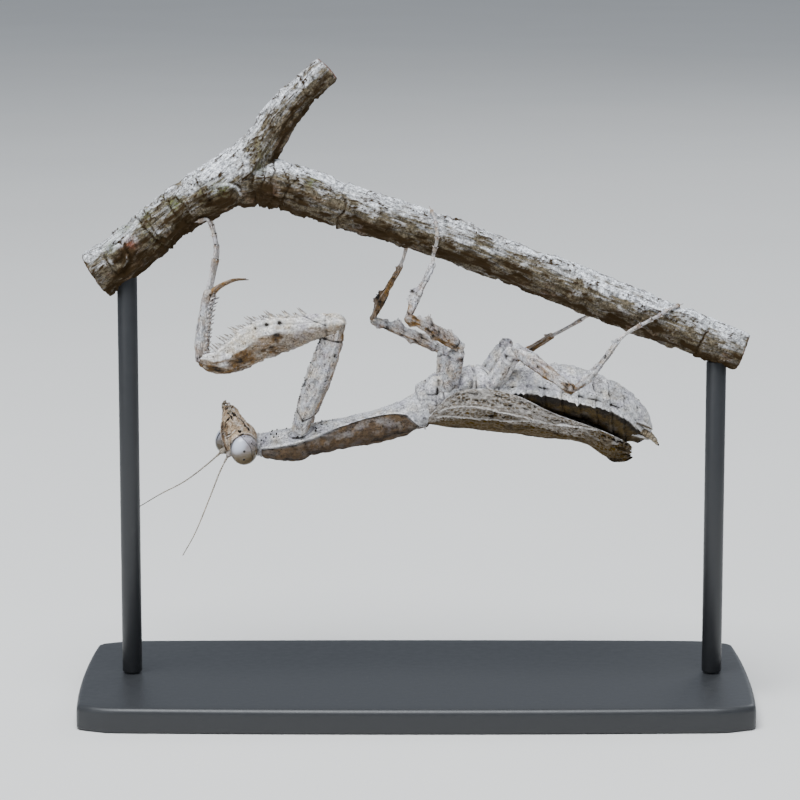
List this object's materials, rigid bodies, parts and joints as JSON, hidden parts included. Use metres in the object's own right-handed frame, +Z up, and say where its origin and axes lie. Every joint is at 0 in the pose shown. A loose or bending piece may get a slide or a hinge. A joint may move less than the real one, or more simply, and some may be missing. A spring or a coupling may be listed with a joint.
{
  "type": "praying mantis display model",
  "caption": "Life-size still model of a brown twig mantis hanging upside down from a short forked branch, held up by a plain flat base and rods.",
  "frame": {"origin": "centre of the stand's underside, on the surface that it stands on", "axes": "+Z up; the mantis's head points to -X, its right side faces -Y and its belly faces +Z; the base's long side runs along X"},
  "size_m": [0.108, 0.046, 0.1037],
  "materials": {
    "pale_cuticle": "dull, finely pitted cuticle with dark specks",
    "brown_cuticle": "dull mottled brown cuticle",
    "eye": "smooth and glossy",
    "feeler": "dull straw-coloured cuticle",
    "wing": "dull, veined and leathery",
    "bark": "rough weathered bark",
    "stand": "satin dark grey paint"
  },
  "bodies": {
    "root": {"head": "pale_cuticle", "neck": "pale_cuticle", "prothorax": "pale_cuticle", "pterothorax": "pale_cuticle", "abdomen": "pale_cuticle", "cercus_right": "brown_cuticle", "cercus_left": "brown_cuticle", "eye_right": "eye", "eye_left": "eye", "palp_right": "feeler", "palp_left": "feeler", "antenna_right": "feeler", "antenna_left": "feeler", "forewing_right": "wing", "forewing_left": "wing", "foreleg_right_coxa": "pale_cuticle", "foreleg_right_femur": "brown_cuticle", "foreleg_right_tibia": "pale_cuticle", "foreleg_right_tarsus": "pale_cuticle", "foreleg_left_coxa": "pale_cuticle", "foreleg_left_femur": "brown_cuticle", "foreleg_left_tibia": "pale_cuticle", "foreleg_left_tarsus": "pale_cuticle", "midleg_right_coxa": "pale_cuticle", "midleg_right_femur": "pale_cuticle", "midleg_right_tibia": "pale_cuticle", "midleg_right_tarsus": "pale_cuticle", "midleg_left_coxa": "pale_cuticle", "midleg_left_femur": "pale_cuticle", "midleg_left_tibia": "pale_cuticle", "midleg_left_tarsus": "pale_cuticle", "hindleg_right_coxa": "pale_cuticle", "hindleg_right_femur": "pale_cuticle", "hindleg_right_tibia": "pale_cuticle", "hindleg_right_tarsus": "pale_cuticle", "hindleg_left_coxa": "pale_cuticle", "hindleg_left_femur": "pale_cuticle", "hindleg_left_tibia": "pale_cuticle", "hindleg_left_tarsus": "pale_cuticle", "perch_left": "bark", "perch_right": "bark", "perch_upper": "bark", "stand_base": "stand", "stand_rod_left": "stand", "stand_rod_right": "stand"}
  },
  "joints": []
}
